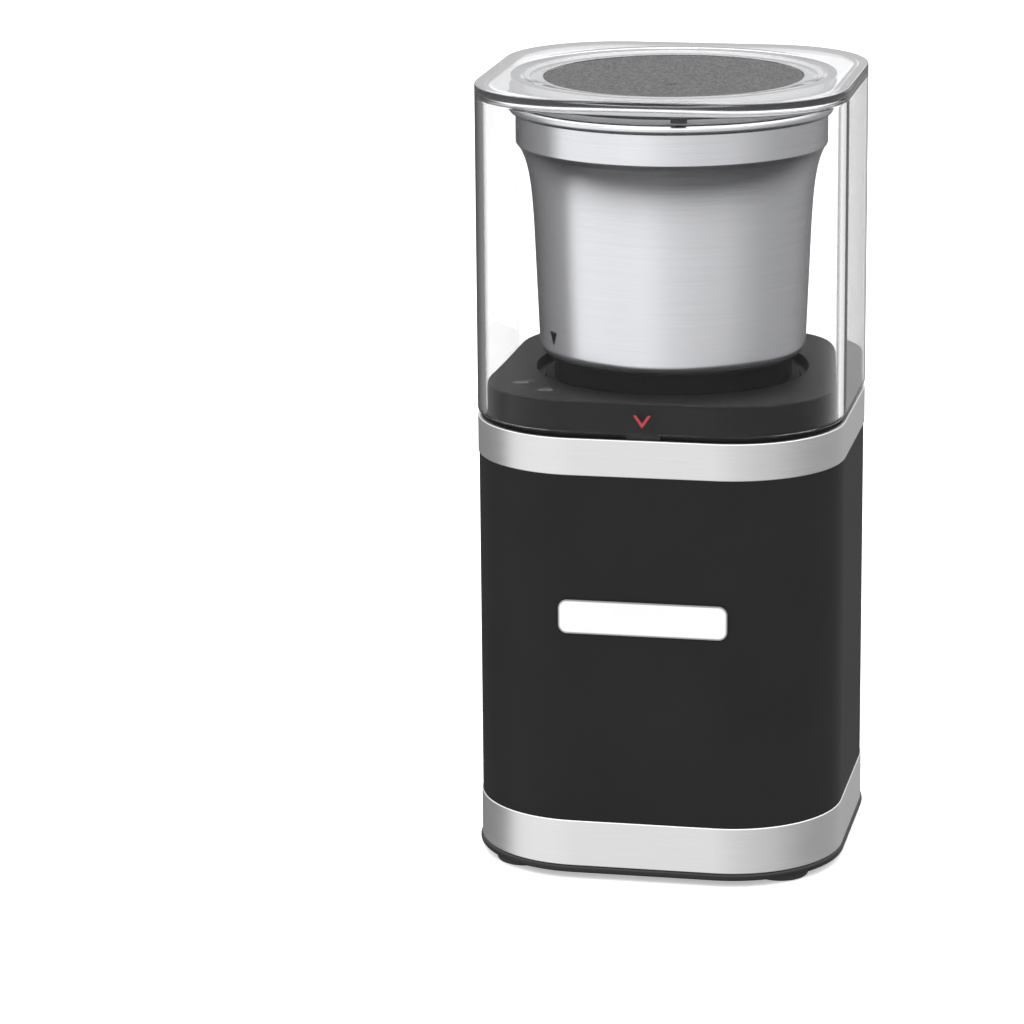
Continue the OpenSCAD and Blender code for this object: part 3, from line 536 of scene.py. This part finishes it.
def soften(points, radii):
    """Path in the plane whose corners are replaced by arcs. radii gives one radius per point, 0 for none."""
    arc_steps = 6
    path = []
    for i, (point, radius) in enumerate(zip(points, radii)):
        if radius == 0 or i in (0, len(points) - 1):
            path.append(tuple(point))
            continue
        here = Vector(point)
        back = (Vector(points[i - 1]) - here).normalized()
        on = (Vector(points[i + 1]) - here).normalized()
        bend = math.acos(max(-1.0, min(1.0, back.dot(on))))
        run = radius / math.tan(bend / 2)
        centre = here + (back + on).normalized() * (radius / math.sin(bend / 2))
        start, end = here + back * run - centre, here + on * run - centre
        first = math.atan2(start.y, start.x)
        sweep = math.atan2(start.x * end.y - start.y * end.x, start.dot(end))
        for k in range(arc_steps + 1):
            a = first + sweep * k / arc_steps
            path.append((centre.x + radius * math.cos(a), centre.y + radius * math.sin(a)))
    return path


def loft(rings, closed):
    """Verts and faces through rings of equal length. A loft that isn't closed gets a cap at each end."""
    count = len(rings[0])
    verts = [point for ring in rings for point in ring]
    faces = []
    spans = len(rings) if closed else len(rings) - 1
    for i in range(spans):
        a, b = i * count, ((i + 1) % len(rings)) * count
        for k in range(count):
            n = (k + 1) % count
            faces.append((a + k, a + n, b + n, b + k))
    if not closed:
        faces.append(tuple(range(count - 1, -1, -1)))
        last = (len(rings) - 1) * count
        faces.append(tuple(range(last, last + count)))
    return verts, faces


def clean_mesh(name, verts, faces):
    """Mesh with merged verts and outward faces, smooth but for its sharp edges."""
    mesh = bpy.data.meshes.new(name)
    mesh.from_pydata(verts, [], faces)
    work = bmesh.new()
    work.from_mesh(mesh)
    bmesh.ops.remove_doubles(work, verts=work.verts, dist=MERGE_DISTANCE)
    bmesh.ops.recalc_face_normals(work, faces=work.faces)
    work.to_mesh(mesh)
    work.free()
    for polygon in mesh.polygons:
        polygon.use_smooth = True
    mesh.set_sharp_from_angle(angle=math.radians(SHARP_ANGLE))
    return mesh


def add_piece(name, verts, faces, material, body, replaces=()):
    mesh = clean_mesh(name, verts, faces)
    piece = bpy.data.objects.new(name, mesh)
    bpy.context.scene.collection.objects.link(piece)
    # large faces keep their own direction, so that flat walls shade and refract as flat
    normals = piece.modifiers.new("normals", "WEIGHTED_NORMAL")
    normals.keep_sharp = True
    normals.weight = 100
    mesh.materials.append(material)
    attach(piece, body)
    if replaces:
        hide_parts(*replaces)
    return piece


# ---------- cover ----------

def cover_squares(path):
    """Rings along the cover's outline from a path of (inset, z)."""
    return [square_ring(BODY_HALF - inset, CORNER_R - inset, z) for inset, z in path]


def cover_underside():
    """From the plate's middle out over the plug and the skirt, then down the inside of the walls."""
    low, plate = walls_low.z, walls_high.z
    under, skirt_low = plate - 1 * MM, seal_high.z
    plug_low = skirt_low - PLUG_BELOW_SKIRT
    path = [(0.5 * DISC_R, under), (PLUG_IN, under), (PLUG_IN, plug_low), (PLUG_OUT, plug_low),
            (PLUG_OUT, plate), (SKIRT_IN, plate), (SKIRT_IN, skirt_low), (SKIRT_OUT, skirt_low),
            (SKIRT_OUT, plate), (48.6 * MM, plate)]
    plug_edge, skirt_edge = 0.4 * MM, 0.3 * MM
    radii = [0] + 3 * [plug_edge] + 4 * [skirt_edge] + [plug_edge, 0]
    inside = [(5.6 * MM, plate), (COVER_T, plate), (COVER_T, low), (COVER_T / 2, low)]
    return round_rings(soften(path, radii)) + cover_squares(soften(inside, [0, 2.2 * MM, 0.5 * MM, 0]))


def cover_outside():
    """From the walls' lower edge up over the plate, down the dish and into the disc's pocket."""
    low, plate, high = walls_low.z, walls_high.z, top_high.z
    dish, pocket = disc_high.z, disc_low.z
    rim, pocket_r = DISC_R + 8 * MM, DISC_R + 0.1 * MM
    walls = soften([(COVER_T / 2, low), (0, low), (0, plate)], [0, 0.5 * MM, 0])
    edge = soften([(0, plate), (0, high), (3 * MM, high)], [0, 0.7 * MM, 0])[1:]
    middle = soften([(rim + 2 * MM, high), (rim, high), (DISC_R + 2 * MM, dish + 0.1 * MM),
                     (pocket_r, dish), (pocket_r, pocket), (0.5 * DISC_R, pocket)],
                    [0, 9 * MM, 9 * MM, 0.1 * MM, 0, 0])
    return cover_squares(walls + edge + [(5.2 * MM, high)]) + round_rings(middle)


def paint_cover(piece, materials):
    """The top of the plate is milky; its edge and the pocket's wall are a grey, less milky copy, painted
    shade chosen by which way the faces point; the plug is more milky and the rest is clear.
    """
    for paint in ("cover_plate", "cover_side_painted_shade", "cover_plug"):
        piece.data.materials.append(materials[paint])
    on_plate, on_shaded_edge, on_plug = 1, 2, 3
    plate_line = walls_high.z + 0.1 * MM
    plug_line, plug_r = walls_high.z - 1.1 * MM, 45 * MM
    for polygon in piece.data.polygons:
        if polygon.center.z < plug_line and Vector(polygon.center[:2]).length < plug_r:
            polygon.material_index = on_plug
        elif polygon.center.z > plate_line:
            # faces above the plate that don't point up get the grey copy, painted shade on the edge
            polygon.material_index = on_plate if polygon.normal.z > 0.5 else on_shaded_edge


def add_cover(materials):
    """Clear cover in one mesh: walls, plate with its dish, the disc's pocket, plug and skirt."""
    # the loft starts at the middle of the plate's underside and ends in the pocket, with a cap at each
    verts, faces = loft(cover_underside() + cover_outside(), closed=False)
    piece = add_piece("clear_cover", verts, faces, materials["clear_cover"], "cover",
                      ("cover_walls", "cover_top"))
    paint_cover(piece, materials)


def add_disc(materials):
    """Textured disc in the pocket of the cover's top, a little below the dish."""
    low, top, middle = disc_low.z, disc_high.z - DISC_SINK, 20 * MM
    path = soften([(middle, low), (DISC_R, low), (DISC_R, top), (middle, top)], [0, 0, 0.1 * MM, 0])
    verts, faces = loft(round_rings(path), closed=False)
    add_piece("lid_disc", verts, faces, materials["frosted_disc"], "cover",
              ("lid_insert",))


def add_gate_mark(materials):
    """Small oval mark that the mould's gate left on the disc."""
    top = disc_high.z - DISC_SINK
    middle = Vector((2.1, -14.6)) * MM
    half_length, half_width = 2.35 * MM, 1.0 * MM
    turn = math.radians(CAMERA_TURN + 90)
    steps = 48
    rings = []
    for size, lift in ((1.0, -0.05), (1.0, 0.04), (0.93, 0.1), (0.8, 0.12), (0.72, 0.03)):
        ring = []
        for k in range(steps):
            a = math.tau * k / steps
            x, y = half_length * size * math.cos(a), half_width * size * math.sin(a)
            ring.append((middle.x + x * math.cos(turn) - y * math.sin(turn),
                         middle.y + x * math.sin(turn) + y * math.cos(turn), top + lift * MM))
        rings.append(ring)
    verts, faces = loft(rings, closed=False)
    add_piece("disc_gate_mark", verts, faces, materials["frosted_disc"], "cover")


# ---------- bowl and seal ----------

def wall_radius(h):
    """Outer radius of the bowl's wall at a height over its base."""
    return BOWL_R + BOWL_SLOPE * (h - BOWL_FOOT) + FLARE * math.exp((h - WALL_TOP) / FLARE_LENGTH)


def bowl_wall(inset):
    """From the hub's hole round the bottom corner and up the wall, at a distance from the outer face."""
    corner, corner_steps, wall_steps = BOWL_CORNER, 12, 48
    path = [(BOWL_HOLE, BOWL_Z + inset)]
    for k in range(corner_steps + 1):
        a = -math.pi / 2 + math.pi / 2 * k / corner_steps
        path.append((BOWL_R - corner + (corner - inset) * math.cos(a),
                     BOWL_Z + corner + (corner - inset) * math.sin(a)))
    for k in range(wall_steps + 1):
        h = FLARE_FROM_MM * MM + (WALL_TOP_MM - FLARE_FROM_MM) * MM * k / wall_steps
        path.append((wall_radius(h) - inset, BOWL_Z + h))
    return path


def bowl_collar(inset, points):
    """Rounded path from the top of the wall up the collar, through points of (radius, z)."""
    wall_end = (wall_radius(WALL_TOP) - inset, BOWL_Z + WALL_TOP)
    return soften([wall_end] + points, [0, 0.3 * MM, 0.4 * MM, 0.4 * MM, 0])[1:]


def rolled_lip(throat):
    """Round bead on the collar, from its underside round the outside and over the top to its inside."""
    centre_r, centre_z = LIP_R - LIP_BEAD, throat + 1.9 * MM
    start, sweep, steps = -125, 300, 24
    path = []
    for k in range(steps + 1):
        a = math.radians(start + sweep * k / steps)
        path.append((centre_r + LIP_BEAD * math.cos(a), centre_z + LIP_BEAD * math.sin(a)))
    return path


def add_bowl(materials):
    """Steel cup: round bottom corner, straight taper, flare, brushed collar and rolled lip."""
    throat = BOWL_Z + COLLAR_Z + COLLAR_H
    out_r, in_r, lip_r = COLLAR_R, COLLAR_R - BOWL_T, LIP_R - 2 * LIP_BEAD
    outer = bowl_wall(0) + bowl_collar(0, [
        (out_r - 0.3 * MM, BOWL_Z + 63.8 * MM), (out_r, BOWL_Z + 64.3 * MM), (out_r, throat),
        (lip_r + 0.6 * MM, throat + 0.9 * MM)])
    inner = bowl_wall(BOWL_T) + bowl_collar(BOWL_T, [
        (in_r - 0.3 * MM, BOWL_Z + 64.2 * MM), (in_r, BOWL_Z + 65 * MM), (in_r, throat + 0.4 * MM),
        (lip_r - 0.05 * MM, throat + 1.2 * MM)])
    verts, faces = loft(round_rings(outer + rolled_lip(throat) + inner[::-1]), closed=True)
    add_piece("bowl_shell", verts, faces, materials["bowl_steel"], "bowl", ("bowl_cup",))


def add_seal(materials):
    """Black gasket over the bowl's lip: a flat ring with rounded edges."""
    outer, low, high = seal_high.x, seal_low.z, seal_high.z
    edge = 0.3 * MM
    path = soften([(SEAL_IN, low), (outer, low), (outer, high), (SEAL_IN, high), (SEAL_IN, low)],
                  [0, edge, edge, edge, 0])
    verts, faces = loft(round_rings(path[:-1]), closed=True)
    add_piece("lid_gasket", verts, faces, materials["rubber"], "lid_seal", ("lid_seal",))


# ---------- springs ----------

def tube_along(path, radius, sides, ref):
    """Round tube through points; ref is a direction that the path never runs along."""
    rings = []
    for i, point in enumerate(path):
        along = (path[min(i + 1, len(path) - 1)] - path[max(i - 1, 0)]).normalized()
        side = ref.cross(along).normalized()
        up = along.cross(side)
        rings.append([point + radius * (x * side + y * up) for x, y in circle_points(1, (0, 0), sides)])
    return loft(rings, closed=False)


def coil(coil_r, y, low, rise, turns):
    """Points of an upright helix at a place on the Y axis."""
    steps = 40
    path = []
    for i in range(turns * steps + 1):
        a = math.tau * i / steps
        z = low + rise * i / (turns * steps)
        path.append(Vector((coil_r * math.cos(a), y + coil_r * math.sin(a), z)))
    return path


def add_springs(materials):
    """The two coil springs under the plungers; the real ones shorten as the cover is pressed, these keep one
    length.
    """
    low, high = spring_low.z, spring_high.z
    wire, press = 0.35 * MM, 1.5 * MM
    coil_r = spring_high.x - wire
    front_y, rear_y = spring_low.y + coil_r + wire, spring_high.y - coil_r - wire
    for name, y in (("front_spring", front_y), ("rear_spring", rear_y)):
        path = coil(coil_r, y, low + wire, rise=high - low - 2 * wire, turns=4)
        verts, faces = tube_along(path, wire, sides=12, ref=Vector((0, 0, 1)))
        spring = add_piece(name, verts, faces, materials["spring_steel"], "base",
                           ("plunger_springs",))
        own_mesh(spring)


# ---------- nameplate and small marks ----------

def rounded_bar_ring(width, height, radius, y):
    """Outline of a bar with round corners, upright and facing the front, centred on the axis at height 0."""
    steps = 8
    ring = []
    for k, (sx, sz) in enumerate(((1, 1), (-1, 1), (-1, -1), (1, -1))):
        for i in range(steps + 1):
            a = math.pi / 2 * (k + i / steps)
            ring.append((sx * (width / 2 - radius) + radius * math.cos(a), y,
                         sz * (height / 2 - radius) + radius * math.sin(a)))
    return ring


def add_nameplate(materials):
    """Blank white plate with a soft edge, in a thin grey surround."""
    width, height = plate_high.x - plate_low.x, plate_high.z - plate_low.z
    middle = (plate_low.z + plate_high.z) / 2
    front, back = plate_low.y, plate_high.y
    corner, surround, steps = 2.6 * MM, 0.35 * MM, 4
    for name, slot, inset, face, soft in (
            ("nameplate_edge", "mark_grey", 0, front + 0.08 * MM, 0.05 * MM),
            ("nameplate_face", "plate_white", surround, front, 0.25 * MM)):
        rings = []
        for step in range(steps + 1):
            a = math.pi / 2 * step / steps
            pull = inset + soft * (1 - math.sin(a))
            rings.append(rounded_bar_ring(width - 2 * pull, height - 2 * pull, corner - pull,
                                          face + soft * (1 - math.cos(a))))
        rings.append(rounded_bar_ring(width - 2 * inset, height - 2 * inset, corner - inset, back))
        verts, faces = loft(rings, closed=False)
        verts = [(x, y, z + middle) for x, y, z in verts]
        add_piece(name, verts, faces, materials[slot], "base", ("nameplate",) if inset else ())


def swept(points, centre_turn, half_turn, steps):
    """Closed profile (radius, z) swept round the axis between two directions, with a cap at each end."""
    rings = []
    for i in range(steps + 1):
        a = math.radians(centre_turn - half_turn + 2 * half_turn * i / steps)
        rings.append([(r * math.cos(a), r * math.sin(a), z) for r, z in points])
    return loft(rings, closed=False)


def add_gasket_tab(materials):
    """Pull tab that hangs from the gasket at the front."""
    tab_r, tab_t, edge = 49.85 * MM, 0.45 * MM, 0.15 * MM
    low, high, root = seal_high.z - 1.6 * MM, seal_high.z, seal_high.x - 0.4 * MM
    shelf = high - 0.5 * MM
    profile = soften([(tab_r, low), (tab_r + tab_t, low), (tab_r + tab_t, high), (root, high),
                      (root, shelf), (tab_r, shelf), (tab_r, low)], [0, edge, edge, 0, 0, 0.05 * MM, 0])
    verts, faces = swept(profile[:-1], centre_turn=-78.6, half_turn=2.7, steps=12)
    add_piece("gasket_tab", verts, faces, materials["rubber"], "lid_seal")


def add_fill_line(materials):
    """Fill line pressed into the bowl's inside."""
    wall_in = BOWL_R + BOWL_SLOPE * (FILL_LINE_Z - BOWL_FOOT) - BOWL_T
    line = circle_points(0.5 * MM, (wall_in - 0.1 * MM, BOWL_Z + FILL_LINE_Z), steps=16)
    verts, faces = swept(line, centre_turn=75, half_turn=15, steps=30)
    add_piece("bowl_fill_line", verts, faces, materials["bowl_steel"], "bowl")


add_camera()
add_world()
add_floor()
materials = make_paints()
paint_cad_nodes(materials)
add_cover(materials)
add_bowl(materials)
add_seal(materials)
add_disc(materials)
add_gate_mark(materials)
add_springs(materials)
add_nameplate(materials)
add_gasket_tab(materials)
add_fill_line(materials)
bpy.context.scene.view_settings.view_transform = "Standard"
